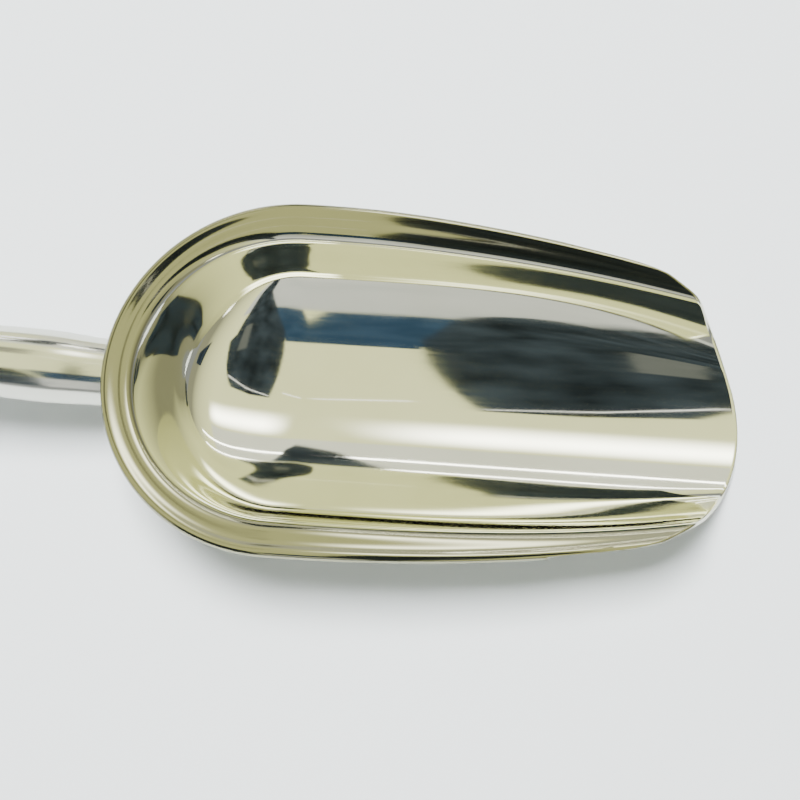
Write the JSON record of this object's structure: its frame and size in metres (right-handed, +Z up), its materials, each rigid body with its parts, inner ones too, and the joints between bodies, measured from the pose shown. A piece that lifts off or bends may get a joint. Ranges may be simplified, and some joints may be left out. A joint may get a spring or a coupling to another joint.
{
  "type": "ice scoop",
  "caption": "Stainless steel ice scoop: round-backed trough bowl with a rounded lip and a turned-over rim, on a hollow tubular handle with a hanging hole.",
  "frame": {"origin": "middle of the whole scoop's length and width, on the surface the bowl's flat bottom rests on", "axes": "+X along the scoop to the pouring lip, +Y to its left side seen from the handle, +Z up, out of the open bowl"},
  "size_m": [0.3104, 0.11, 0.0505],
  "materials": {
    "polished_sheet": "mirror-polished stainless steel sheet with fine polishing lines",
    "polished_tube": "polished stainless steel tube, slightly softer shine than the bowl",
    "weld_metal": "brushed stainless weld, faintly straw-tinted",
    "sleeve_tube": "satin drawn stainless tube"
  },
  "bodies": {
    "root": {"scoop_bowl": "polished_sheet", "handle_tube": "polished_tube", "handle_end_cap": "polished_tube", "bowl_weld_bead": "weld_metal", "cap_weld_seam": "weld_metal", "hanging_hole_sleeve": "sleeve_tube"}
  },
  "joints": []
}
